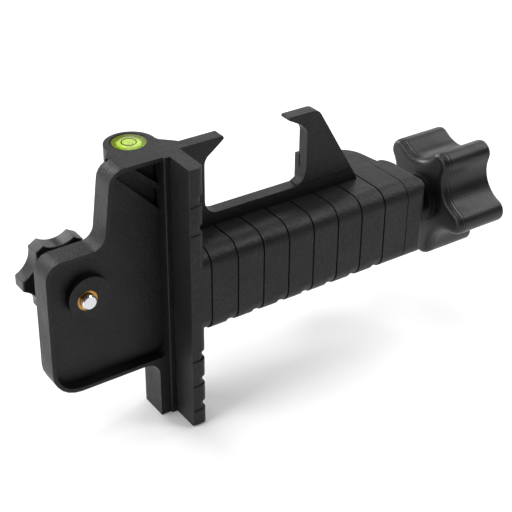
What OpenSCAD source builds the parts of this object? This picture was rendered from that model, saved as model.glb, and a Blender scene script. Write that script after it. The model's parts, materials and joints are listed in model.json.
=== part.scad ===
// Rod-clamp bracket for a laser receiver: a receiver tray with a circular vial, and a handle whose
// lead screw drives a hooked jaw against a grade rod.
// The origin is the rod seat: X = 0 on the fixed jaw's face, Z = 0 on the rail that the rod rests on,
// and Y = 0 in the middle of the hook plate's thickness. +X runs along the handle to the clamp knob,
// +Z to the reading edge, and -Y to the side where the receiver is fastened.

/* [Rod clamp] */
// Gap between the two jaws with the clamp fully open
rod_gap = 50.2; // [44:0.1:54]
// Depth of the rod opening, from the rail up to the reading edge
rod_depth = 33.2; // [30:0.1:38]
// How far the fixed hook's tip reaches over the rod
fixed_hook_reach = 9.2; // [7:0.1:11]
// How far the moving hook's tip reaches over the rod
moving_hook_reach = 9.4; // [7:0.1:11]
// Thickness of the hook plate, the rail and the moving jaw
plate_t = 5.8; // [5:0.1:7]
// Width of the rail's foot under the moving jaw, along the handle
jaw_foot = 24.6; // [22:0.1:27]
// How far the moving jaw closes
jaw_travel = 31; // [20:0.5:31]
// Height of the rail above the handle
rail_h = 5.6; // [5:0.1:7]
// Fillet where the rail meets a jaw
seat_fillet = 6.3; // [4:0.1:8]

/* [Flange] */
// Thickness of the upright flange between the tray and the rod
flange_t = 6.75; // [6:0.05:9]
// Height of the flange, reading edge to foot
flange_h = 122.1; // [112:0.1:126]
// Length of the fixed jaw's root, from the flange to the jaw's face
hook_root = 11.3; // [9:0.05:13]
// How far the flange and the handle stand in front of the plate's middle
front_reach = 21.2; // [19:0.1:23]
// Depth of the spine behind the plate's middle
spine_back = 7.4; // [6.5:0.1:8.5]
// Width of the spine to the left of the flange
spine_w = 7.1; // [6:0.1:9]

/* [Tray] */
// Width of the tray, left of the flange
tray_w = 54.6; // [52:0.1:60]
// Width of the narrow upper part of the tray, left of the flange
tray_upper_w = 25.2; // [23:0.1:28]
// Height of the narrow upper part, below the reading edge
tray_step_z = 31.5; // [28:0.1:35]
// Height of the tray, below the reading edge
tray_h = 93.9; // [88:0.1:97]
// Distance of the tray's rim in front of the plate's middle
rim_front = 6.05; // [5.6:0.05:7]
// Distance of the tray's back face behind the plate's middle
tray_back = 4.3; // [4:0.1:5]
// Width of the tray's rim
rim_w = 1.7; // [1.4:0.1:3]
// Depth of the tray, rim to floor
tray_depth = 4.45; // [4.1:0.05:4.8]
// Thickness of the diagonal ribs in the tray's upper corner
rib_t = 2; // [1.4:0.1:2.6]

/* [Receiver screw] */
// Distance of the receiver screw's axis from the rod seat, along the handle
mount_x = 55.5; // [54:0.1:57]
// Distance of the receiver screw's axis below the rail
mount_drop = 19.7; // [18:0.1:24]
// Diameter of the receiver screw, a 1/4 inch camera thread
mount_screw_d = 6.35; // [6:0.05:6.5]
// Pitch of the receiver screw's thread
mount_pitch = 1.27; // [1:0.01:1.5]
// Radius of the boss round the receiver screw
mount_boss_r = 9.2; // [8:0.1:11]
// Outer radius of the brass insert in the boss
insert_r = 4.3; // [4:0.1:5]
// How far the screw's tip stands out of the boss
tip_reach = 2.3; // [1.5:0.1:3]
// How far the screw still travels until its washer meets the boss
mount_travel = 5.5; // [4:0.1:6]
// Radius of the small knob, to its lobe ends
mount_knob_r = 17.2; // [16:0.1:20]
// Thickness of the small knob
mount_knob_t = 8; // [7:0.1:9]
// Number of lobes on the small knob
mount_knob_lobes = 6; // [5:1:7]

/* [Handle] */
// Length of the handle beyond the open rod gap, which holds the jaw's foot and the end cap
handle_room = 52.45; // [50:0.05:56]
// Height of the handle
handle_h = 38.7; // [36:0.1:40]
// Radius of the handle's long front edges
handle_r = 7.5; // [6:0.1:9]
// Distance of the handle's seam behind the plate's middle
seam_y = 5.5; // [5.3:0.1:5.8]
// Distance of the handle's back behind the plate's middle
handle_back = 10; // [9.8:0.1:10.6]
// Wall of the handle's shells
shell_t = 3; // [2.6:0.1:3.2]
// Spacing of the grip grooves
groove_pitch = 12.58; // [12:0.02:13]
// Width of a grip groove
groove_w = 0.7; // [0.5:0.1:1]
// Depth of a grip groove
groove_d = 0.6; // [0.4:0.1:0.9]
// Length of the handle's end cap
cap_l = 10.65; // [9.5:0.05:11]
// Radius of the round swell at the back of the handle
swell_r = 12.6; // [12:0.1:13.4]

/* [Clamp screw] */
// Diameter of the lead screw
lead_d = 8; // [7:0.1:9]
// Travel of the jaw in one turn of the knob
lead_pitch = 3; // [2:0.5:4]
// Outer radius of the clamp knob, to its lobe tips
knob_r = 28.4; // [26:0.1:30]
// Length of the clamp knob's lobes
knob_l = 27.6; // [22:0.1:30]
// Radius of a lobe's tip
lobe_r = 5.4; // [4:0.1:5.5]
// Radius of the knob between its lobes
knob_root_r = 18.2; // [16.5:0.1:19]
// Number of lobes on the clamp knob
knob_lobes = 5; // [4:1:6]
// Radius of the knob's hub
hub_r = 11.3; // [10:0.1:12.5]
// Rounding of the knob's rim beside the handle
knob_rim = 3; // [2:0.1:3.5]
// Rounding of the knob's outer rim
knob_far_rim = 1.4; // [1:0.1:3]

/* [Vial] */
// Diameter of the circular vial
vial_d = 15; // [14:0.1:16]
// Distance of the vial's centre left of the rod seat
vial_x = 24.8; // [23:0.1:25]
// Distance of the vial's centre behind the plate's middle
vial_y = 12.7; // [12.3:0.1:13.5]
// Radius of the vial's housing
vial_housing_r = 10.6; // [10:0.1:11.5]
// Height of the vial's housing
vial_housing_h = 14; // [12:0.1:16]
// Height of the vial
vial_h = 8.6; // [7:0.1:10]

/* [Fits] */
// Clearance of a sliding face
slide_gap = 0.1; // [0.05:0.01:0.2]
// Radial clearance of a turning shaft
run_gap = 0.05; // [0.02:0.01:0.09]
// Clearance round a fixed insert or bush
seat_gap = 0.05; // [0.03:0.01:0.1]

/* [Hidden] */
$fn = 64;

black = [0.09, 0.09, 0.1];
black_gloss = [0.13, 0.13, 0.14];
steel = [0.72, 0.73, 0.75];
brass = [0.8, 0.62, 0.3];
lime = [0.72, 0.9, 0.1];
clear = [0.9, 0.95, 0.9];
// Overlap that makes a cut run past a face
past = 1;
// Straight pieces in a rounded corner of an outline
corner_n = 6;

// Places that follow from the driving sizes
plate_y = plate_t / 2;
flange_right = -hook_root;
flange_left = flange_right - flange_t;
foot_z = rod_depth - flange_h;
handle_top = -rail_h;
handle_bottom = handle_top - handle_h;
handle_end = rod_gap + handle_room;
cap_start = handle_end - cap_l;
rim_y = -rim_front;
floor_y = rim_y + tray_depth;
pocket_y = floor_y + 2.6;
ridge_y = rim_y - 1.05;
ridge_left = flange_left - 2.6;
spine_left = flange_left - spine_w;
boss_y = rim_y + 1.05;
mount_z = -mount_drop;
// How far the boss stands off the screw's axis, in X and Z
boss_shift = [1.3, 0.8];
axis_y = -4;
axis_z = handle_top - 19.4;
lead_r = lead_d / 2;
mount_r = mount_screw_d / 2;

// Places of the handle's inside
cavity_left = flange_right + 3;
cavity_top = handle_top - shell_t;
cavity_bottom = handle_bottom + shell_t;
slot_left = rod_gap - jaw_travel - 3;
slot_right = rod_gap + jaw_foot - 0.2;
cheek_front = plate_y + 0.25;
cheek_back = seam_y - 0.2;
cheek_left = rod_gap - 0.3;
cheek_right = rod_gap + jaw_foot - 1.8;
cheek_top = rod_depth * 0.345;
carriage_top = axis_z + 11;
carriage_bottom = axis_z - 10.5;
carriage_front = axis_y - 8.5;
nut_l = 8;
nut_r = 7.5;

// Places along the clamp screw
end_wall = 4;
bush_flange_t = 2;
washer_t = 1.2;
neck_l = 5.05;
hub_l = 2.7;
washer_x = handle_end + bush_flange_t;
neck_x = washer_x + washer_t;
hub_x = neck_x + neck_l;
knob_x = hub_x + hub_l;
knob_end = knob_x + knob_l;
tail_depth = 5.4;
tail_x = cavity_left - tail_depth;

// Well for the screw and the cap in the clamp knob, and the hexagon of its insert
knob_well = 6.6;
knob_cap_r = 9.2;
insert_hex_r = 7;

// Well for the cap in the small knob, and the hexagon of its insert
mount_well = 2.4;
mount_cap_r = 7;
mount_hex_r = 6;
mount_hex_l = 3.4;

// Places along the receiver screw
washer_back = boss_back() + mount_travel + 1;
knob_front = washer_back;
knob_back = knob_front + mount_knob_t;
function boss_back() = tray_back + 6;

// Turns of two directions, positive to the left
function turn(a, b) = a[0] * b[1] - a[1] * b[0];
function unit(v) = v / norm(v);
function left(v) = [-v[1], v[0]];
function xy(p) = [p[0], p[1]];
function at(list, k) = list[(k + len(list)) % len(list)];
function spin(v, a) = [v[0] * cos(a) - v[1] * sin(a), v[0] * sin(a) + v[1] * cos(a)];
// Points of an arc from angle a to angle b
function arc(centre, r, a, b, n) = [for (k = [0 : n]) centre + r * [cos(a + (b - a) * k / n), sin(a + (b - a) * k / n)]];

// Outline with rounded corners, from corners [x, y, radius] listed counter-clockwise
function rounded(corners) = [
    for (k = [0 : len(corners) - 1])
        let (
            p = corners[k],
            u = unit(xy(p) - xy(at(corners, k - 1))),
            v = unit(xy(at(corners, k + 1)) - xy(p)),
            way = turn(u, v) < 0 ? -1 : 1,
            bend = acos(max(-1, min(1, u * v))),
            start = xy(p) - u * p[2] * tan(bend / 2),
            centre = start + left(u) * p[2] * way
        )
        if (p[2] < 0.05) xy(p)
        else for (j = [0 : corner_n]) centre + spin((start - centre), way * bend * j / corner_n)
];

// The same corners moved inwards by a distance
function inset(corners, d) = [
    for (k = [0 : len(corners) - 1])
        let (
            p = corners[k],
            u = unit(xy(p) - xy(at(corners, k - 1))),
            v = unit(xy(at(corners, k + 1)) - xy(p)),
            q = xy(p) + d * (left(u) + left(v)) / (1 + u * v),
            r = p[2] < 0.05 ? 0 : max(0.3, p[2] - d * (turn(u, v) < 0 ? -1 : 1))
        )
        [q[0], q[1], r]
];

// A drawing in X and Z, from one Y to a larger Y
module along_y(y0, y1) {
    translate([0, y1, 0]) rotate([90, 0, 0]) linear_extrude(y1 - y0) children();
}

// A drawing in Y and Z, from one X to a larger X
module along_x(x0, x1) {
    translate([x0, 0, 0]) rotate([90, 0, 90]) linear_extrude(x1 - x0) children();
}

// A drawing in X and Y, from one Z to a larger Z
module along_z(z0, z1) {
    translate([0, 0, z0]) linear_extrude(z1 - z0) children();
}

// A box between two corners
module block(low, high) {
    translate(low) cube(high - low);
}

// A rod along Y, at [x, z]
module rod_y(x, z, y0, y1, r) {
    translate([x, y1, z]) rotate([90, 0, 0]) cylinder(h = y1 - y0, r = r);
}

// A rod along X, on the clamp screw's axis
module rod_x(x0, x1, r) {
    translate([x0, axis_y, axis_z]) rotate([0, 90, 0]) cylinder(h = x1 - x0, r = r);
}

// A hexagonal bar along X, on the clamp screw's axis
module hex_x(x0, x1, r) {
    translate([x0, axis_y, axis_z]) rotate([0, 90, 0]) cylinder(h = x1 - x0, r = r, $fn = 6);
}

// A solid through outlines of equally many points, each at its own height. Its two ends are closed from
// the middle, or pair by pair where an outline is a row of points and a row back.
module loft(rings, heights, rows = false) {
    n = len(rings[0]);
    last = len(rings) - 1;
    points = concat(
        [for (k = [0 : last]) for (p = rings[k]) [p[0], p[1], heights[k]]],
        rows ? [] : [[0, 0, heights[0]], [0, 0, heights[last]]]);
    sides = [for (k = [0 : last - 1]) for (j = [0 : n - 1]) each [
        [k * n + j, (k + 1) * n + j, (k + 1) * n + (j + 1) % n],
        [k * n + j, (k + 1) * n + (j + 1) % n, k * n + (j + 1) % n]]];
    middle = n * (last + 1);
    bottom = rows
        ? [for (j = [0 : n / 2 - 2]) [j, j + 1, n - 2 - j, n - 1 - j]]
        : [for (j = [0 : n - 1]) [j, (j + 1) % n, middle]];
    top = rows
        ? [for (j = [0 : n / 2 - 2]) [for (i = [n - 1 - j, n - 2 - j, j + 1, j]) last * n + i]]
        : [for (j = [0 : n - 1]) [last * n + (j + 1) % n, last * n + j, middle + 1]];
    polyhedron(points, concat(sides, bottom, top), convexity = 6);
}

// Inset of a rounded rim of radius r, a height h inside the face
function rim_inset(r, h) = h >= r ? 0 : r - sqrt(r * r - (r - h) * (r - h));

// Corners of the tray with the spine under it, in X and Z
tray_left = flange_left - tray_w;
tray_upper_left = flange_left - tray_upper_w;
tray_step = rod_depth - tray_step_z;
tray_bottom = rod_depth - tray_h;
// How much wider the narrow part is at its foot than at its top
tray_lean = 4.1;
tray_corners = [
    [flange_left + 1, rod_depth, 0],
    [tray_upper_left, rod_depth, 7],
    [tray_upper_left - tray_lean, tray_step, 6],
    [tray_left, tray_step - 0.4, 7],
    [tray_left - 0.75, tray_bottom, 12],
    [spine_left, tray_bottom, 6.5],
    [spine_left, foot_z, 0],
    [flange_left + 1, foot_z, 0]
];
floor_corners = [
    [ridge_left + rim_w, rod_depth, 2.4],
    [tray_upper_left, rod_depth, 7],
    [tray_upper_left - tray_lean, tray_step, 6],
    [tray_left, tray_step - 0.4, 7],
    [tray_left - 0.75, tray_bottom, 12],
    [ridge_left + rim_w, tray_bottom, 5]
];

// Diagonal ribs: where they start under the tray's top, and where they end at the ridge
rib_runs = [[[-34.6, 31.4], [-20.6, 18.8]], [[-42, 29.6], [-20.6, 7.5]]];

module diagonal(run, t) {
    way = unit(run[1] - run[0]);
    side = left(way) * t / 2;
    polygon([run[0] - 6 * way + side, run[0] - 6 * way - side, run[1] + 6 * way - side, run[1] + 6 * way + side]);
}

// The two sunk corners behind the diagonal ribs
module rib_pockets() {
    intersection() {
        polygon(rounded(inset(floor_corners, rim_w + 0.2)));
        polygon([rib_runs[1][0], rib_runs[1][1], [ridge_left + rim_w, rib_runs[1][1][1]],
            [ridge_left + rim_w, rod_depth], [rib_runs[1][0][0], rod_depth]]);
    }
}

module tray() {
    difference() {
        along_y(rim_y, tray_back) polygon(rounded(tray_corners));
        along_y(rim_y - past, floor_y) polygon(rounded(inset(floor_corners, rim_w)));
        difference() {
            along_y(floor_y - past, pocket_y) rib_pockets();
            for (run = rib_runs) along_y(floor_y - 2 * past, pocket_y + past) diagonal(run, rib_t);
        }
    }
    for (run = rib_runs) {
        along_y(floor_y - 0.8, floor_y + 0.5) intersection() {
            diagonal(run, rib_t);
            polygon(rounded(inset(floor_corners, rim_w - 0.5)));
        }
    }
    rod_y(-mount_x + boss_shift[0], mount_z + boss_shift[1], boss_y, tray_back, mount_boss_r);
    rod_y(-mount_x, mount_z, tray_back - 1, boss_back(), 8);
}

// Ridge between the tray and the flange, and the spine under the tray
module spine() {
    along_z(foot_z, rod_depth) polygon(rounded([
        [flange_left + 1, tray_back, 0], [ridge_left, tray_back, 0], [ridge_left, ridge_y, 0.5],
        [flange_left + 1, ridge_y, 0]]));
    along_z(foot_z, tray_bottom + rim_w) polygon(rounded([
        [flange_left + 1, spine_back, 0], [spine_left, spine_back, 1.5], [spine_left, rim_y + 0.3, 4],
        [flange_left + 1, rim_y + 0.3, 0]]));
    along_y(tray_back - 1, spine_back)
        polygon([[flange_left + 1, 10], [spine_left, 10], [spine_left, foot_z], [flange_left + 1, foot_z]]);
}

// Recessed bands on the flange's outer edge: depth below the reading edge, and height
flange_bands = [[14.2, 4.4], [26.9, 4.4], [86.4, 4.6], [99.1, 4.6], [111.8, 4.6]];
flange_edge_r = 3;
band_side = 0.9;
band_front = 0.4;

// Flange in X and Y, moved in at a band
module flange_plan(side, front) {
    polygon(rounded([
        [flange_right - side, tray_back, 0], [flange_left, tray_back, 0],
        [flange_left, -front_reach + front, 0.6],
        [flange_right - side, -front_reach + front, flange_edge_r]]));
}

// Rounding of the flange's front corner at the foot
foot_r = 2.2;

module rod_x_at(x0, x1, y, z, r) {
    translate([x0, y, z]) rotate([0, 90, 0]) cylinder(h = x1 - x0, r = r);
}

module flange() {
    difference() {
        along_z(foot_z, rod_depth) flange_plan(0, 0);
        difference() {
            block([flange_left - past, -front_reach - past, foot_z - past],
                [flange_right + past, foot_r - front_reach, foot_z + foot_r]);
            rod_x_at(flange_left - 1, flange_right + 1, foot_r - front_reach, foot_z + foot_r, foot_r);
        }
        for (band = flange_bands) {
            z = rod_depth - band[0];
            along_z(z - band[1] / 2, z + band[1] / 2) difference() {
                translate([flange_left - past, -front_reach - past])
                    square([flange_t + 2 * past, front_reach - 10]);
                flange_plan(band_side, band_front);
            }
        }
    }
    along_y(-plate_y, spine_back) polygon([
        [flange_right, 10], [flange_left, 10], [flange_left, foot_z], [flange_right, foot_z]]);
}

// Fixed hook, its root and the rail, in X and Z
rail_end = rod_gap + jaw_foot;
hook_corners = [
    [flange_right - 1, rod_depth, 0],
    [flange_right - 1, handle_top - 1, 0],
    [rail_end + 3.4, handle_top - 1, 0],
    [rail_end, 0, 0],
    [0, 0, seat_fillet],
    [0, rod_depth - 8.2, 5],
    [fixed_hook_reach * 0.53, rod_depth - 4.7, 2],
    [fixed_hook_reach, rod_depth - 1.3, 0.5],
    [fixed_hook_reach - 0.4, rod_depth, 0.5]
];

module hook_plate() {
    along_y(-plate_y, plate_y) polygon(rounded(hook_corners));
}

// Corners of the handle's front half, in Y and Z
function front_corners(d) = [
    [seam_y, handle_bottom + d, 0],
    [seam_y, handle_top - d, 0],
    [-front_reach + d, handle_top - d, handle_r - d],
    [-front_reach + d, handle_bottom + d, handle_r - d]
];

// X of each grip groove, counted from the end cap's seam to the flange
groove_x = [for (k = [1 : floor((cap_start - flange_right - 1) / groove_pitch)]) cap_start - k * groove_pitch];

module groove(x) {
    difference() {
        block([x - groove_w / 2, -front_reach - past, handle_bottom - past],
            [x + groove_w / 2, seam_y + past, handle_top + past]);
        along_x(x - groove_w, x + groove_w) polygon(rounded([
            [seam_y + 2 * past, handle_bottom + groove_d, 0],
            [seam_y + 2 * past, handle_top - groove_d, 0],
            [-front_reach + groove_d, handle_top - groove_d, handle_r - groove_d],
            [-front_reach + groove_d, handle_bottom + groove_d, handle_r - groove_d]]));
    }
}

// Finger notch under the handle, beside each groove: the same profile, moved up
notch_l = 4.6;
notch_d = 0.8;

module finger_notch(x) {
    difference() {
        block([x - notch_l, -front_reach - past, handle_bottom - past],
            [x + groove_w / 2, seam_y + past, handle_bottom + handle_r]);
        along_x(x - notch_l - past, x + groove_w / 2 + past) polygon(rounded([
            [seam_y + 2 * past, handle_bottom + notch_d, 0], [seam_y + 2 * past, handle_top, 0],
            [-front_reach, handle_top, 0], [-front_reach, handle_bottom + notch_d, handle_r]]));
    }
}

// Places of the screws that join the two shells, in X and Z
shell_screw_at = [for (x = [cavity_left + 7.6, cap_start - 6.4]) for (z = [handle_top - 8.5, handle_bottom + 8.5]) [x, z]];

module handle_front() {
    difference() {
        along_x(flange_right - flange_edge_r - 0.5, cap_start) polygon(rounded(front_corners(0)));
        along_x(cavity_left, cap_start + past) polygon(rounded([
            [seam_y + past, cavity_bottom, 0], [seam_y + past, cavity_top, 0],
            [-front_reach + shell_t, cavity_top, handle_r - shell_t],
            [-front_reach + shell_t, cavity_bottom, handle_r - shell_t]]));
        for (x = groove_x) groove(x);
        for (x = groove_x) finger_notch(x);
        block([slot_left, plate_y, cavity_top - past], [slot_right, seam_y + past, handle_top + past]);
        rod_x(tail_x, cavity_left + past, 5.5);
    }
    for (p = shell_screw_at) {
        difference() {
            rod_y(p[0], p[1], -front_reach + 1, seam_y, 3.6);
            rod_y(p[0], p[1], seam_y - 9, seam_y + past, 1.25);
        }
    }
}

module bracket_body() {
    color(black) difference() {
        union() {
            tray();
            spine();
            flange();
            hook_plate();
            handle_front();
        }
        rod_y(-mount_x, mount_z, rim_y - past, boss_back() + past, insert_r + seat_gap);
        rod_x(tail_x, cavity_left + past, 5.5);
        for (x = housing_screw_x) rod_y(x, housing_screw_z, pocket_y + 0.7, tray_back + past, 1.1);
    }
}

// Plan of the handle's back shell: straight behind the rod, and a round swell behind the jaw
swell_y = 13.2;
swell_left = 73;
swell_right = 82.6;
swell_fillet = 8;
function back_row(d) = let (
        dy = handle_back + swell_fillet - swell_y,
        reach = swell_fillet + swell_r,
        fillet_x = swell_left - sqrt(reach * reach - dy * dy),
        lean = atan2(dy, swell_left - fillet_x)
    )
    concat(
        arc([swell_right, swell_y], swell_r - d, 0, 90, 10),
        arc([swell_left, swell_y], swell_r - d, 90, 180 - lean, 8),
        arc([fillet_x, handle_back + swell_fillet], swell_fillet + d, -lean, -90, 8),
        arc([flange_right + 3, handle_back - 3], 3 - min(d, 2.6), 90, 180, 4)
    );
function back_plan(d) = let (row = back_row(d), n = len(row)) concat(
    [for (k = [n - 1 : -1 : 1]) [row[k][0], seam_y]],
    [[cap_start + 4.5 - d, seam_y]],
    row
);

// Rounding of the back shell's long edges
back_rim = 1;
back_steps = [0.05, 0.3, 0.6, 1];

module rear_shell() {
    low = [for (h = back_steps) handle_bottom + h];
    high = [for (k = [len(back_steps) - 1 : -1 : 0]) handle_top - back_steps[k]];
    insets = concat([for (h = back_steps) rim_inset(back_rim, h)],
        [for (k = [len(back_steps) - 1 : -1 : 0]) rim_inset(back_rim, back_steps[k])]);
    color(black) difference() {
        union() {
            difference() {
                loft([for (d = insets) back_plan(d)], concat(low, high), rows = true);
                along_z(cavity_bottom, cavity_top) polygon(concat(
                    [[cavity_left, seam_y - past], [cap_start + 1, seam_y - past]],
                    [for (p = back_row(shell_t)) if (p[0] > cavity_left + 3) p],
                    [[cavity_left, handle_back - shell_t]]));
            }
            for (p = shell_screw_at)
                rod_y(p[0], p[1], seam_y, (p[0] > swell_left ? swell_y + swell_r : handle_back) - shell_t + 0.5, 4.6);
        }
        for (p = shell_screw_at) {
            rod_y(p[0], p[1], seam_y - past, seam_y + 3, 1.7);
            rod_y(p[0], p[1], seam_y + 2, swell_y + swell_r + past, 3.3);
        }
    }
}

module shell_screws() {
    color(steel) for (p = shell_screw_at) {
        rod_y(p[0], p[1], seam_y - 8, seam_y + 2, 1.25 - 0.02);
        rod_y(p[0], p[1], seam_y + 2, seam_y + 3.8, 2.9);
    }
}

// End cap: the last ring of the grip, with the wall that carries the clamp screw
cap_round = 3.2;

module end_cap() {
    color(black) difference() {
        intersection() {
            along_x(cap_start, handle_end) polygon(rounded(front_corners(0)));
            along_z(handle_bottom - past, handle_top + past) polygon(rounded([
                [cap_start, seam_y, 0], [cap_start, -front_reach, 0], [handle_end, -front_reach, cap_round],
                [handle_end, -3, 2], [handle_end - 4.4, seam_y, 2.5]]));
            along_y(-front_reach - past, seam_y + past) polygon(rounded([
                [cap_start - past, handle_bottom, 0], [handle_end, handle_bottom, cap_round],
                [handle_end, handle_top, cap_round], [cap_start - past, handle_top, 0]]));
        }
        along_x(cap_start - past, handle_end - end_wall) polygon(rounded([
            [seam_y - 2, cavity_bottom, 0], [seam_y - 2, cavity_top, 0],
            [-front_reach + shell_t, cavity_top, handle_r - shell_t],
            [-front_reach + shell_t, cavity_bottom, handle_r - shell_t]]));
        rod_x(handle_end - end_wall - past, handle_end + past, 7);
        groove(cap_start);
    }
}

// Tail bush of the lead screw, in the wall beside the flange
module tail_bush() {
    color(brass) difference() {
        rod_x(tail_x, cavity_left, 5.5 - seat_gap);
        rod_x(tail_x - past, cavity_left + past, lead_r + run_gap);
    }
}

// Flanged bush of the lead screw, in the end cap
module end_bush() {
    color(brass) difference() {
        union() {
            rod_x(handle_end - end_wall, handle_end, 7 - seat_gap);
            rod_x(handle_end, washer_x, 9);
        }
        rod_x(handle_end - end_wall - past, washer_x + past, lead_r + run_gap);
    }
}

// Lead screw, with a groove for its clip and a flat-ended tail
clip_x = handle_end - end_wall - 1.1;
clip_t = 0.8;

module lead_screw() {
    color(steel) difference() {
        union() {
            rod_x(tail_x + 0.4, knob_end - knob_well, lead_r);
            translate([tail_x + 0.4, axis_y, axis_z]) rotate([0, -90, 0]) cylinder(h = 0.3, r1 = lead_r, r2 = lead_r - 0.8);
        }
        difference() {
            rod_x(clip_x, clip_x + clip_t + 0.1, lead_r + past);
            rod_x(clip_x - past, clip_x + clip_t + past, lead_r - 0.6);
        }
        rod_x(knob_end - knob_well - 9, knob_end - knob_well + past, 1.65);
    }
}

module retaining_clip() {
    color(steel) difference() {
        rod_x(clip_x + 0.05, clip_x + 0.05 + clip_t, 6.4);
        rod_x(clip_x - past, clip_x + clip_t + past, lead_r - 0.55);
        block([clip_x - past, axis_y - 2.4, axis_z], [clip_x + clip_t + past, axis_y + 2.4, axis_z + 10]);
    }
}

module thrust_washer() {
    color(steel) difference() {
        rod_x(washer_x + 0.05, neck_x - 0.05, 8.4);
        rod_x(washer_x - past, neck_x + past, lead_r + 0.1);
    }
}

// Outline of the clamp knob: round lobe tips joined by hollow flanks
function knob_outline(d) = let (
        tip = knob_r - lobe_r,
        step = 180 / knob_lobes,
        hollow_d = (tip * tip - pow(lobe_r - knob_root_r, 2)) / (2 * (tip * cos(step) + lobe_r - knob_root_r)),
        hollow_r = hollow_d - knob_root_r,
        hollow = hollow_d * [cos(step), sin(step)],
        lean = atan2(hollow[1], hollow[0] - tip)
    )
    [for (k = [0 : knob_lobes - 1]) each [
        for (p = concat(
            arc([tip, 0], lobe_r - d, -lean, lean, 8),
            arc(hollow, hollow_r + d, 180 + lean - 4, 180 + 2 * step - lean + 4, 8))) spin(p, 2 * step * k)]];

knob_phase = 45;
rim_steps = [0, 0.15, 0.45, 1];
// Fine parting groove round the knob, beside its rounded front rim
knob_line_w = 0.35;
knob_line_d = 0.3;

module clamp_knob() {
    rims = rim_steps * knob_rim;
    line = knob_rim + knob_line_w;
    far_rims = [for (k = [len(rim_steps) - 1 : -1 : 0]) rim_steps[k] * knob_far_rim];
    high = [for (h = far_rims) knob_l - h];
    insets = concat([for (h = rims) rim_inset(knob_rim, h)], [0, knob_line_d, 0],
        [for (h = far_rims) rim_inset(knob_far_rim, h)]);
    color(black_gloss) difference() {
        union() {
            translate([knob_x, axis_y, axis_z]) rotate([90, 0, 90]) rotate([0, 0, knob_phase])
                loft([for (d = insets) knob_outline(d)], concat(rims, [line, line + knob_line_w, line + 2 * knob_line_w], high));
            rod_x(hub_x, knob_x + 1, hub_r);
            rod_x(neck_x, hub_x + 1, 7);
        }
        rod_x(neck_x - past, knob_end, lead_r + 0.1);
        hex_x(knob_x + 2, knob_end - knob_well, insert_hex_r + seat_gap);
        rod_x(knob_end - knob_well, knob_end + past, knob_cap_r);
    }
}

module knob_insert() {
    color(brass) difference() {
        hex_x(knob_x + 2, knob_end - knob_well, insert_hex_r);
        rod_x(knob_x, knob_end, lead_r + 0.02);
    }
}

module knob_screw() {
    color(steel) {
        rod_x(knob_end - knob_well - 8, knob_end - knob_well, 1.6);
        rod_x(knob_end - knob_well, knob_end - 4, 5.2);
    }
}

module knob_cap() {
    color(black_gloss) {
        rod_x(knob_end - 2.4, knob_end, knob_cap_r - seat_gap);
        difference() {
            rod_x(knob_end - knob_well, knob_end - 2, knob_cap_r - seat_gap);
            rod_x(knob_end - knob_well - past, knob_end - 1, 7.6);
        }
    }
}

// Moving jaw: hooked plate on the rail, with a cheek that goes down behind the rail
jaw_top = rod_depth - 0.6;
jaw_corners = [
    [rod_gap - 0.2 - seat_fillet * 0.25, slide_gap, 0],
    [rod_gap + jaw_foot, slide_gap, 0],
    [rod_gap + 5.6, jaw_top, 4.6],
    [rod_gap - moving_hook_reach, jaw_top, 0.5],
    [rod_gap - moving_hook_reach - 0.3, jaw_top - 1.2, 0.5],
    [rod_gap - 3.4, rod_depth - 5.2, 2],
    [rod_gap, rod_depth - 8.6, 4],
    [rod_gap, seat_fillet, 0]
];

module moving_jaw() {
    plate = rounded(jaw_corners);
    toe = arc([rod_gap - seat_fillet, seat_fillet], seat_fillet, 0, -72, 7);
    toe_end = toe[len(toe) - 1];
    color(black) {
        along_y(-plate_y + 0.15, plate_y) union() {
            polygon(plate);
            polygon(concat([[rod_gap + 1, seat_fillet]], toe, [[toe_end[0], slide_gap], [rod_gap + 1, slide_gap]]));
        }
        along_y(plate_y - 0.5, cheek_back) polygon([
            [cheek_left, slide_gap], [cheek_right, slide_gap], [cheek_right - 4, cheek_top], [cheek_left, cheek_top]]);
        difference() {
            along_y(cheek_front, cheek_back) polygon([
                [cheek_left, carriage_bottom], [cheek_right, carriage_bottom],
                [cheek_right, 1], [cheek_left, 1]]);
            for (p = carriage_screw_at) rod_y(p[0], p[1], cheek_front - past, cheek_back + past, 1.7);
        }
    }
}

// Places of the screws that hold the carriage, in X and Z
carriage_screw_at = [for (z = [carriage_top - 3.4, carriage_bottom + 3.4]) [(cheek_left + cheek_right) / 2, z]];

module jaw_carriage() {
    color(black) difference() {
        block([cheek_left, carriage_front, carriage_bottom], [cheek_right, cheek_front, carriage_top]);
        rod_x(cheek_left - past, cheek_right + past, lead_r + 0.5);
        hex_x(cheek_right - nut_l, cheek_right + past, nut_r + seat_gap);
        for (p = carriage_screw_at) rod_y(p[0], p[1], cheek_front - 6.2, cheek_front + past, 1.3);
    }
}

module jaw_nut() {
    color(brass) difference() {
        hex_x(cheek_right - nut_l, cheek_right, nut_r);
        rod_x(cheek_right - nut_l - past, cheek_right + past, lead_r + run_gap);
    }
}

module carriage_screws() {
    color(steel) for (p = carriage_screw_at) {
        rod_y(p[0], p[1], cheek_front - 6, cheek_back, 1.28);
        rod_y(p[0], p[1], cheek_back, cheek_back + 1.5, 2.8);
    }
}

// Housing of the vial behind the tray's top bar, in X and Y
housing_low = rod_depth - vial_housing_h;
housing_screw_x = [-vial_x - 7.6, -vial_x + 7.6];
housing_screw_z = housing_low + 3;

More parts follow.
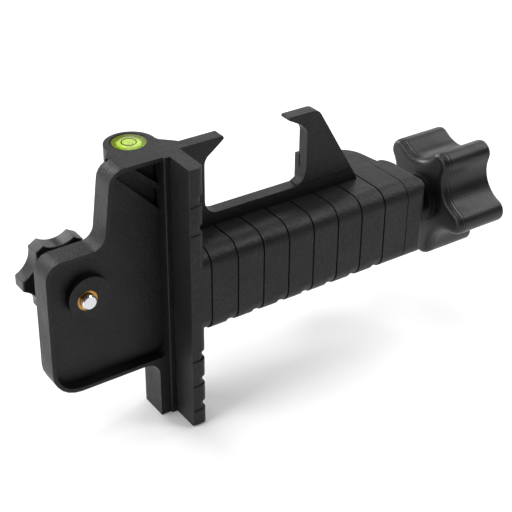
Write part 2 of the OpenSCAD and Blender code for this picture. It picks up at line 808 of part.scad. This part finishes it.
module vial_housing() {
    color(black) difference() {
        along_z(housing_low, rod_depth) union() {
            intersection() {
                translate([-vial_x - 0.2, vial_y - 1.4]) circle(r = vial_housing_r);
                translate([-vial_x - 15, tray_back]) square([30, 30]);
            }
            polygon(concat(
                [[-vial_x - 15, tray_back], [flange_right, tray_back], [flange_right, plate_y],
                    [flange_right + 3, plate_y], [flange_right + 2.8, plate_y + 0.4]],
                [[flange_right - 0.3, tray_back + 2.2], [-vial_x + 10.9, vial_y - 4], [-vial_x + 10.2, vial_y - 1.4],
                    [-vial_x - 10.4, vial_y - 1.4], [-vial_x - 11.6, tray_back + 4.4]]));
        }
        translate([-vial_x, vial_y, vial_low]) cylinder(h = vial_h + 2, r = vial_d / 2 + seat_gap);
        for (x = housing_screw_x) {
            rod_y(x, housing_screw_z, tray_back - past, tray_back + 4, 1.4);
            rod_y(x, housing_screw_z, tray_back + 3, vial_y + vial_housing_r, 2.6);
        }
    }
}

module housing_screws() {
    color(steel) for (x = housing_screw_x) {
        rod_y(x, housing_screw_z, pocket_y + 0.8, tray_back + 3, 1.08);
        rod_y(x, housing_screw_z, tray_back + 3, tray_back + 4.5, 2.3);
    }
}

// Circular vial: clear cup upside down over a base, with fluid, bubble and ring
vial_sink = 0.15;
vial_low = rod_depth - vial_h - vial_sink;
vial_top = vial_low + vial_h;
vial_wall = 1.2;

module vial_at(z) {
    translate([-vial_x, vial_y, z]) children();
}

module vial_cup() {
    color(clear) vial_at(vial_low) difference() {
        cylinder(h = vial_h, r = vial_d / 2);
        translate([0, 0, -past]) cylinder(h = vial_h - vial_wall + past, r = vial_d / 2 - vial_wall);
    }
}

module vial_base() {
    color("white") vial_at(vial_low) cylinder(h = 1.2, r = vial_d / 2 - vial_wall - 0.02);
}

module vial_fluid() {
    color(lime) vial_at(vial_low + 1.2) difference() {
        cylinder(h = vial_h - vial_wall - 1.2 - 0.02, r = vial_d / 2 - vial_wall - 0.02);
        translate([0, 0, vial_h - vial_wall - 2.4]) cylinder(h = 3, r = 2.3);
    }
}

module vial_bubble() {
    color("white") vial_at(vial_top - vial_wall - 1.15) rotate_extrude()
        polygon(concat([[0, 0]], arc([1.1, 0.55], 0.55, -90, 90, 6) + [for (k = [0 : 6]) [0.55, 0]], [[0, 1.1]]));
}

module vial_ring() {
    color(black) vial_at(vial_top) difference() {
        cylinder(h = 0.1, r = 3.2);
        translate([0, 0, -past]) cylinder(h = 3, r = 2.8);
    }
}

// Brass insert that the receiver screw turns in
// Flat lip round the insert's countersink
insert_lip = 0.4;

module screw_insert() {
    color(brass) difference() {
        rod_y(-mount_x, mount_z, boss_y, boss_back(), insert_r);
        rod_y(-mount_x, mount_z, boss_y - past, boss_back() + past, shank_r + run_gap);
        translate([-mount_x, boss_y - past, mount_z]) rotate([-90, 0, 0])
            cylinder(h = 1.1 + past, r1 = insert_r - insert_lip, r2 = shank_r + run_gap);
    }
}

// Receiver screw: chamfered tip, threaded free end, and the thinner shank in the insert and the knob
tip_chamfer = 0.5;
tip_step = 0.3;
shank_r = mount_r - 0.6;

module mount_screw() {
    tip_y = boss_y - tip_reach + tip_chamfer;
    color(steel) {
        rod_y(-mount_x, mount_z, tip_y, boss_y - tip_step, mount_r);
        rod_y(-mount_x, mount_z, boss_y - tip_step - past, knob_back - mount_well, shank_r);
        translate([-mount_x, tip_y, mount_z]) rotate([90, 0, 0])
            cylinder(h = tip_chamfer, r1 = mount_r, r2 = mount_r - tip_chamfer);
    }
}

module mount_washer() {
    color(steel) difference() {
        rod_y(-mount_x, mount_z, washer_back - 1, washer_back - 0.05, 6.4);
        rod_y(-mount_x, mount_z, washer_back - 2, washer_back + 1, shank_r + 0.08);
    }
}

// Outline of the small knob: flat lobe ends joined by shallow hollows
function star_outline(d) = let (
        half = 7.3,
        step = 180 / mount_knob_lobes,
        r = mount_knob_r - d,
        chord = r * sin(step - half),
        sag = 2.2,
        hollow_r = (chord * chord + sag * sag) / (2 * sag),
        hollow_d = r * cos(step - half) - sag + hollow_r,
        open = asin(chord / hollow_r)
    )
    [for (k = [0 : mount_knob_lobes - 1]) each [
        for (p = concat(
            [r * [cos(half), -sin(half)]],
            [for (q = arc([hollow_d, 0], hollow_r, 180 + open, 180 - open, 8)) spin(q, step)]))
            spin(p, 2 * step * k)]];

module mount_knob() {
    color(black_gloss) difference() {
        translate([-mount_x, knob_front, mount_z]) rotate([-90, 0, 0])
            loft([for (d = [0.5, 0, 0, 0.5]) star_outline(d)], [0, 0.5, mount_knob_t - 0.5, mount_knob_t]);
        rod_y(-mount_x, mount_z, knob_front - past, knob_back, shank_r + 0.1);
        translate([-mount_x, knob_back - mount_well, mount_z]) rotate([90, 0, 0])
            cylinder(h = mount_hex_l, r = mount_hex_r + seat_gap, $fn = 6);
        rod_y(-mount_x, mount_z, knob_back - mount_well, knob_back + past, mount_cap_r);
    }
}

module mount_knob_insert() {
    color(brass) difference() {
        translate([-mount_x, knob_back - mount_well, mount_z]) rotate([90, 0, 0]) cylinder(h = mount_hex_l, r = mount_hex_r, $fn = 6);
        rod_y(-mount_x, mount_z, knob_front, knob_back, shank_r + 0.02);
    }
}

module mount_knob_cap() {
    color(black_gloss) rod_y(-mount_x, mount_z, knob_back - mount_well, knob_back - 0.3, mount_cap_r - seat_gap);
}

bracket_body();
rear_shell();
end_cap();
vial_housing();
vial_cup();
vial_fluid();
vial_bubble();
vial_ring();
vial_base();
housing_screws();
shell_screws();
screw_insert();
tail_bush();
end_bush();
lead_screw();
clamp_knob();
knob_insert();
knob_screw();
knob_cap();
thrust_washer();
retaining_clip();
moving_jaw();
jaw_carriage();
jaw_nut();
carriage_screws();
mount_washer();
mount_screw();
mount_knob();
mount_knob_insert();
mount_knob_cap();
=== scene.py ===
import json
import math

import bmesh
import bpy
from mathutils import Matrix, Vector


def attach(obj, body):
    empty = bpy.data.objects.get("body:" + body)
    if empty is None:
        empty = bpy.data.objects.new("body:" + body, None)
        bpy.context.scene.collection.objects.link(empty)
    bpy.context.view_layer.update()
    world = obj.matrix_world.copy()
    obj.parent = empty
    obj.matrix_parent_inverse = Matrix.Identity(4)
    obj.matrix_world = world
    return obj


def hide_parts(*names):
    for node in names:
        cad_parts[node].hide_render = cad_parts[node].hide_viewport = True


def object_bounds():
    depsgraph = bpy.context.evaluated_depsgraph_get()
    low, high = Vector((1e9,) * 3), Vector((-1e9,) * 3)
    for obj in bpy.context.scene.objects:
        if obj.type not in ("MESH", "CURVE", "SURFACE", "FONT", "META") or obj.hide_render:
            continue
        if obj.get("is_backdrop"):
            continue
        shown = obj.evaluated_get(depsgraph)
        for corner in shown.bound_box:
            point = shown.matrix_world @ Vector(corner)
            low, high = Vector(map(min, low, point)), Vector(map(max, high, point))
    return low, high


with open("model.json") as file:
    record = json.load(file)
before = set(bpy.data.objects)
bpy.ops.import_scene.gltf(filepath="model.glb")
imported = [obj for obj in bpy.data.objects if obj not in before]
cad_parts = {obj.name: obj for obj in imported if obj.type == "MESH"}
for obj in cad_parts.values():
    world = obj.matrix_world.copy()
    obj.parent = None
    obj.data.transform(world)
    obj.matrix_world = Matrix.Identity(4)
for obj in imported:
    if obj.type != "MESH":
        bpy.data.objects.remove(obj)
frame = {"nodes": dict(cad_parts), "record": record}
measured = {}


def write_bounds(key):
    low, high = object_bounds()
    measured[key] = [list(low), list(high)]


write_bounds("loaded")

# Materials

WHITE = (1.0, 1.0, 1.0, 1.0)
# Surface textures: the scale and detail of each noise, and the strength of its bump
NOISE_LOW, NOISE_HIGH = 0.3, 0.7
PLASTIC_IOR = 1.46
WAVE_SCALE, WAVE_DETAIL, WAVE_STRENGTH = 160.0, 2.0, 0.3
GRAINS_PER_WAVE = 3
GRAIN_SCALE, GRAIN_DETAIL, GRAIN_STRENGTH = 1100.0, 3.0, 0.8
GLOSS_SCALE, GLOSS_DETAIL, GLOSS_SPREAD = 70.0, 6.0, 0.06
SPECKLE_SCALE, SPECKLE_DETAIL = 1300.0, 3.0
METAL_SCALE, METAL_DETAIL, METAL_STRENGTH = 900.0, 2.0, 0.3
METAL_GRAIN = 0.00002
VIAL_SPECULAR = 0.1
VIAL_IOR = 1.16


def new_material(name):
    """A new material, with its node tree and its main shader."""
    mat = bpy.data.materials.new(name)
    mat.use_nodes = True
    tree = mat.node_tree
    bsdf = next(n for n in tree.nodes if n.type == "BSDF_PRINCIPLED")
    return mat, tree, bsdf


def noise(tree, scale, detail, coords):
    """A noise texture in the object's own metres."""
    node = tree.nodes.new("ShaderNodeTexNoise")
    node.inputs["Scale"].default_value = scale
    node.inputs["Detail"].default_value = detail
    tree.links.new(coords.outputs["Object"], node.inputs["Vector"])
    return node


def bump_chain(tree, bsdf, layers):
    """Bumps laid one over the other: (texture, strength, depth in metres) each."""
    last = None
    for texture, strength, depth in layers:
        bump = tree.nodes.new("ShaderNodeBump")
        bump.inputs["Strength"].default_value = strength
        bump.inputs["Distance"].default_value = depth
        tree.links.new(texture.outputs["Fac"], bump.inputs["Height"])
        if last:
            tree.links.new(last.outputs["Normal"], bump.inputs["Normal"])
        last = bump
    tree.links.new(last.outputs["Normal"], bsdf.inputs["Normal"])


def spread_of(tree, texture, middle, spread):
    """The texture's middle range, stretched to the spread on both sides of a middle value."""
    stretch = tree.nodes.new("ShaderNodeMapRange")
    stretch.inputs["From Min"].default_value = NOISE_LOW
    stretch.inputs["From Max"].default_value = NOISE_HIGH
    stretch.inputs["To Min"].default_value = middle - spread
    stretch.inputs["To Max"].default_value = middle + spread
    tree.links.new(texture.outputs["Fac"], stretch.inputs["Value"])
    return stretch.outputs["Result"]


def plastic(name, color, rough, grain, specular=0.3, speckle=0.0):
    """Moulded plastic: a fine pebbled grain over faint waves, and slightly uneven gloss."""
    mat, tree, bsdf = new_material(name)
    bsdf.inputs["Base Color"].default_value = (*color, 1.0)
    bsdf.inputs["IOR"].default_value = PLASTIC_IOR
    bsdf.inputs["Specular IOR Level"].default_value = specular
    coords = tree.nodes.new("ShaderNodeTexCoord")
    bump_chain(tree, bsdf, [
        (noise(tree, WAVE_SCALE, WAVE_DETAIL, coords), WAVE_STRENGTH, grain * GRAINS_PER_WAVE),
        (noise(tree, GRAIN_SCALE, GRAIN_DETAIL, coords), GRAIN_STRENGTH, grain),
    ])
    gloss = spread_of(tree, noise(tree, GLOSS_SCALE, GLOSS_DETAIL, coords), rough, GLOSS_SPREAD)
    tree.links.new(gloss, bsdf.inputs["Roughness"])
    if speckle:
        sparkle = spread_of(tree, noise(tree, SPECKLE_SCALE, SPECKLE_DETAIL, coords), specular, speckle)
        tree.links.new(sparkle, bsdf.inputs["Specular IOR Level"])
    return mat


def metal(name, color, rough):
    """Turned or plated metal with a faint grain."""
    mat, tree, bsdf = new_material(name)
    bsdf.inputs["Base Color"].default_value = (*color, 1.0)
    bsdf.inputs["Metallic"].default_value = 1.0
    bsdf.inputs["Roughness"].default_value = rough
    coords = tree.nodes.new("ShaderNodeTexCoord")
    texture = noise(tree, METAL_SCALE, METAL_DETAIL, coords)
    bump_chain(tree, bsdf, [(texture, METAL_STRENGTH, METAL_GRAIN)])
    return mat


def bubble(name, color, rough, ior):
    """The smooth look of the bubble in the vial."""
    mat, _, bsdf = new_material(name)
    bsdf.inputs["Base Color"].default_value = (*color, 1.0)
    bsdf.inputs["Roughness"].default_value = rough
    bsdf.inputs["IOR"].default_value = ior
    return mat


def vial_painted_shade(name, stops, rough, transmission):
    """Painted shade in the vial: a colour that follows the distance from the vial's axis, with darker rings
    for shade. Rising (share of the radius, colour) stops.
    """
    mat, tree, bsdf = new_material(name)
    bsdf.inputs["Roughness"].default_value = rough
    bsdf.inputs["Specular IOR Level"].default_value = VIAL_SPECULAR
    bsdf.inputs["Transmission Weight"].default_value = transmission
    bsdf.inputs["IOR"].default_value = VIAL_IOR
    coords = tree.nodes.new("ShaderNodeTexCoord")
    # Generated coordinates run from 0 to 1 across the piece. Here its axis becomes 0 and its rim 1.
    centred = tree.nodes.new("ShaderNodeVectorMath")
    centred.operation = "MULTIPLY_ADD"
    centred.inputs[1].default_value = (2.0, 2.0, 0.0)
    centred.inputs[2].default_value = (-1.0, -1.0, 0.0)
    tree.links.new(coords.outputs["Generated"], centred.inputs[0])
    radius = tree.nodes.new("ShaderNodeVectorMath")
    radius.operation = "LENGTH"
    tree.links.new(centred.outputs["Vector"], radius.inputs[0])
    ramp = tree.nodes.new("ShaderNodeValToRGB")
    # A new ramp has two stops, which become the first and the last
    ramp_stops = ramp.color_ramp.elements
    for stop, (share, color) in zip(ramp_stops, (stops[0], stops[-1])):
        stop.position = share
        stop.color = (*color, 1.0)
    for share, color in stops[1:-1]:
        ramp_stops.new(share).color = (*color, 1.0)
    tree.links.new(radius.outputs["Value"], ramp.inputs["Fac"])
    tree.links.new(ramp.outputs["Color"], bsdf.inputs["Base Color"])
    return mat


# Painted shade of the cup, from refraction: a lighter middle, a dark green ring and a near-black line at the
# rim
CUP_PAINTED_SHADE = [
    (0.60, (0.86, 0.96, 0.30)),
    (0.74, (0.30, 0.48, 0.05)),
    (0.87, (0.62, 0.74, 0.10)),
    (0.97, (0.01, 0.015, 0.01)),
]
# Painted shade of the fluid: lime in the middle, darkening to deep green at the rim
FLUID_PAINTED_SHADE = [
    (0.74, (0.66, 0.84, 0.02)),
    (0.97, (0.05, 0.14, 0.02)),
]

nylon = plastic(
    "nylon", color=(0.0060, 0.0060, 0.0062), rough=0.46, grain=0.00022, specular=0.29, speckle=0.06)
knob = plastic(
    "knob", color=(0.0050, 0.0050, 0.0052), rough=0.38, grain=0.00008, specular=0.42, speckle=0.06)
black_print = plastic("print", color=(0.006, 0.006, 0.006), rough=0.45, grain=0.00001)
vial_back = plastic("vial_back", color=(0.55, 0.60, 0.30), rough=0.45, grain=0.00001)
brass = metal("brass", color=(0.44, 0.23, 0.06), rough=0.26)
zinc = metal("zinc", color=(0.66, 0.67, 0.69), rough=0.24)
# The cup and the fluid carry painted shade in their colour ramps, darker towards their rims
clear = vial_painted_shade("clear", CUP_PAINTED_SHADE, rough=0.05, transmission=0.8)
lime = vial_painted_shade("lime", FLUID_PAINTED_SHADE, rough=0.5, transmission=0.0)
air = bubble("air", color=(0.36, 0.56, 0.16), rough=0.15, ior=1.1)

NODES_BY_MATERIAL = [
    (nylon, ["bracket_body", "rear_shell", "end_cap", "vial_housing", "moving_jaw", "jaw_carriage"]),
    (knob, ["clamp_knob", "knob_cap", "mount_knob", "mount_knob_cap"]),
    (black_print, ["vial_ring"]),
    (vial_back, ["vial_base"]),
    (brass, ["screw_insert", "tail_bush", "end_bush", "jaw_nut", "knob_insert", "mount_knob_insert"]),
    (zinc, ["housing_screws", "shell_screws", "carriage_screws", "knob_screw"]),
    (zinc, ["lead_screw", "mount_screw", "thrust_washer", "retaining_clip", "mount_washer"]),
    (clear, ["vial_cup"]),
    (lime, ["vial_fluid"]),
    (air, ["vial_bubble"]),
]

for material, nodes in NODES_BY_MATERIAL:
    for node in nodes:
        node_materials = frame["nodes"][node].data.materials
        node_materials.clear()
        node_materials.append(material)

# Pieces with rounded edges, which stand for the sharp CAD nodes

BODIES = frame["record"]["behaviour"]["bodies"]
BODY_OF = {node: body for body, members in BODIES.items() for node in members}

WELD_GAP = 0.000004
FLAT_ANGLE = math.radians(1.0)
EDGE_ANGLE = math.radians(28.0)
EDGE_SEGMENTS = 2
NORMAL_WEIGHT = 60
EDGE_WIDTHS = {
    "bracket_body": 0.00045,
    "rear_shell": 0.0004,
    "end_cap": 0.0004,
    "vial_housing": 0.0005,
    "moving_jaw": 0.0005,
    "clamp_knob": 0.0004,
    "mount_knob": 0.0004,
}


def skin(node, edge_width):
    """A copy of a CAD node's mesh, welded, with rounded edges. It stands for the node."""
    mesh = frame["nodes"][node].data.copy()
    mesh.name = node + "_skin"
    bm = bmesh.new()
    bm.from_mesh(mesh)
    bmesh.ops.remove_doubles(bm, verts=bm.verts, dist=WELD_GAP)
    bmesh.ops.dissolve_limit(bm, angle_limit=FLAT_ANGLE, verts=bm.verts, edges=bm.edges)
    for face in bm.faces:
        face.smooth = True
    bm.to_mesh(mesh)
    bm.free()
    piece = bpy.data.objects.new(node + "_skin", mesh)
    bpy.context.scene.collection.objects.link(piece)
    edges = piece.modifiers.new("edges", "BEVEL")
    edges.width = edge_width
    edges.segments = EDGE_SEGMENTS
    edges.limit_method = "ANGLE"
    edges.angle_limit = EDGE_ANGLE
    edges.miter_outer = "MITER_ARC"
    normals = piece.modifiers.new("normals", "WEIGHTED_NORMAL")
    normals.keep_sharp = True
    normals.weight = NORMAL_WEIGHT
    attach(piece, BODY_OF[node])
    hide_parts(node)


for node, edge_width in EDGE_WIDTHS.items():
    skin(node, edge_width)

# Studio

ROOM_LIGHT = 0.09
ROOM_SEEN = 1.0
FLOOR_REACH = 6.0
FLOOR_GAP = 0.0001
FLOOR_COLOR = (0.80, 0.80, 0.80, 1.0)
FLOOR_ROUGH = 0.9
GLOW_START, GLOW_END = 0.5, 1.6
# The soft boxes: a place and a size in metres, and a power in watts
LIGHTS_AIM = Vector((0.02, 0.0, -0.02))
BOX_SIZE = 0.6
SMALL_BOX_SIZE = 0.3
LIGHTS = {
    "top": ((0.1, 0.15, 1.3), BOX_SIZE, 5.0),
    "left": ((-1.05, 0.0, 0.22), BOX_SIZE, 10.0),
    "upper_left": ((-0.9, 0.05, 0.85), BOX_SIZE, 4.0),
    "left_back": ((-0.85, 0.55, 0.5), BOX_SIZE, 5.0),
    "back": ((-0.1, 1.1, 0.45), BOX_SIZE, 9.0),
    "right_back": ((0.75, 0.85, 0.5), BOX_SIZE, 2.5),
    "right": ((1.1, 0.1, 0.5), BOX_SIZE, 10.0),
    "front_top": ((0.62, -0.55, 0.92), SMALL_BOX_SIZE, 5.0),
}


def build_room():
    """An even white room, which lights the part faintly and which the camera sees as plain white."""
    world = bpy.context.scene.world or bpy.data.worlds.new("studio")
    bpy.context.scene.world = world
    world.use_nodes = True
    tree = world.node_tree
    background = next(n for n in tree.nodes if n.type == "BACKGROUND")
    background.inputs["Color"].default_value = WHITE
    light_path = tree.nodes.new("ShaderNodeLightPath")
    strength = tree.nodes.new("ShaderNodeMapRange")
    strength.inputs["To Min"].default_value = ROOM_LIGHT
    strength.inputs["To Max"].default_value = ROOM_SEEN
    tree.links.new(light_path.outputs["Is Camera Ray"], strength.inputs["Value"])
    tree.links.new(strength.outputs["Result"], background.inputs["Strength"])


def floor_material():
    """A pale floor, which glows white by itself far from its middle, so that it meets the white room."""
    mat, tree, bsdf = new_material("floor")
    bsdf.inputs["Base Color"].default_value = FLOOR_COLOR
    bsdf.inputs["Roughness"].default_value = FLOOR_ROUGH
    bsdf.inputs["Emission Color"].default_value = WHITE
    coords = tree.nodes.new("ShaderNodeTexCoord")
    away = tree.nodes.new("ShaderNodeVectorMath")
    away.operation = "LENGTH"
    glow = tree.nodes.new("ShaderNodeMapRange")
    glow.inputs["From Min"].default_value = GLOW_START
    glow.inputs["From Max"].default_value = GLOW_END
    tree.links.new(coords.outputs["Object"], away.inputs[0])
    tree.links.new(away.outputs["Value"], glow.inputs["Value"])
    tree.links.new(glow.outputs["Result"], bsdf.inputs["Emission Strength"])
    return mat


def build_floor():
    """A wide, flat floor just under the part."""
    signs = [(-1, -1), (1, -1), (1, 1), (-1, 1)]
    corners = [(x * FLOOR_REACH, y * FLOOR_REACH, 0.0) for x, y in signs]
    mesh = bpy.data.meshes.new("floor")
    mesh.from_pydata(corners, [], [(0, 1, 2, 3)])
    mesh.materials.append(floor_material())
    floor = bpy.data.objects.new("floor", mesh)
    bpy.context.scene.collection.objects.link(floor)
    part_low, _ = measured["loaded"]
    floor.location = (0.0, 0.0, part_low[2] - FLOOR_GAP)
    floor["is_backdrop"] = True


def area_light(name, location, size, power):
    """A square soft box that faces the part."""
    data = bpy.data.lights.new(name, "AREA")
    data.shape = "SQUARE"
    data.size = size
    data.energy = power
    lamp = bpy.data.objects.new(name, data)
    lamp.location = location
    lamp.rotation_euler = (LIGHTS_AIM - Vector(location)).to_track_quat("-Z", "Y").to_euler()
    bpy.context.scene.collection.objects.link(lamp)


bpy.context.scene.view_settings.view_transform = "Standard"
build_room()
build_floor()
for name, (location, size, power) in LIGHTS.items():
    area_light(name, location, size, power)

# Camera at the photo's angle

AZIMUTH = math.radians(34.41)
PITCH = math.radians(31.46)
ROLL = math.radians(0.60)
PHOTO_PX = 512.0
FOCAL_PX = 1238.0
MM_PER_M = 1000.0
SENSOR_MM = 36.0
CLIP_NEAR, CLIP_FAR = 0.01, 30.0
# A point within 1 mm of the flange's top corner, with the pixel and the scale that set the eye
ANCHOR = Vector((-10.65, -3.0, 33.2)) / MM_PER_M
ANCHOR_PX = (180.9, 148.0)
ANCHOR_PX_PER_MM = 2.6


def photo_view():
    """The camera's place and turn, from the photo's angles and the anchor's pixel and scale."""
    level = math.cos(PITCH)
    forward = Vector((math.sin(AZIMUTH) * level, math.cos(AZIMUTH) * level, -math.sin(PITCH)))
    level_right = forward.cross(Vector((0, 0, 1))).normalized()
    level_up = level_right.cross(forward)
    right = math.cos(ROLL) * level_right + math.sin(ROLL) * level_up
    up = math.cos(ROLL) * level_up - math.sin(ROLL) * level_right
    across, down = ((pixel - PHOTO_PX / 2) / FOCAL_PX for pixel in ANCHOR_PX)
    depth = FOCAL_PX / ANCHOR_PX_PER_MM / MM_PER_M
    eye = ANCHOR - (forward + right * across - up * down) * depth
    return Matrix.Translation(eye) @ Matrix((right, up, -forward)).transposed().to_4x4()


cam_data = bpy.data.cameras.new("camera")
cam_data.sensor_width = SENSOR_MM
cam_data.lens = SENSOR_MM * FOCAL_PX / PHOTO_PX
cam_data.clip_start = CLIP_NEAR
cam_data.clip_end = CLIP_FAR
camera = bpy.data.objects.new("camera", cam_data)
camera.matrix_world = photo_view()
bpy.context.scene.collection.objects.link(camera)
bpy.context.scene.camera = camera

write_bounds("finish")
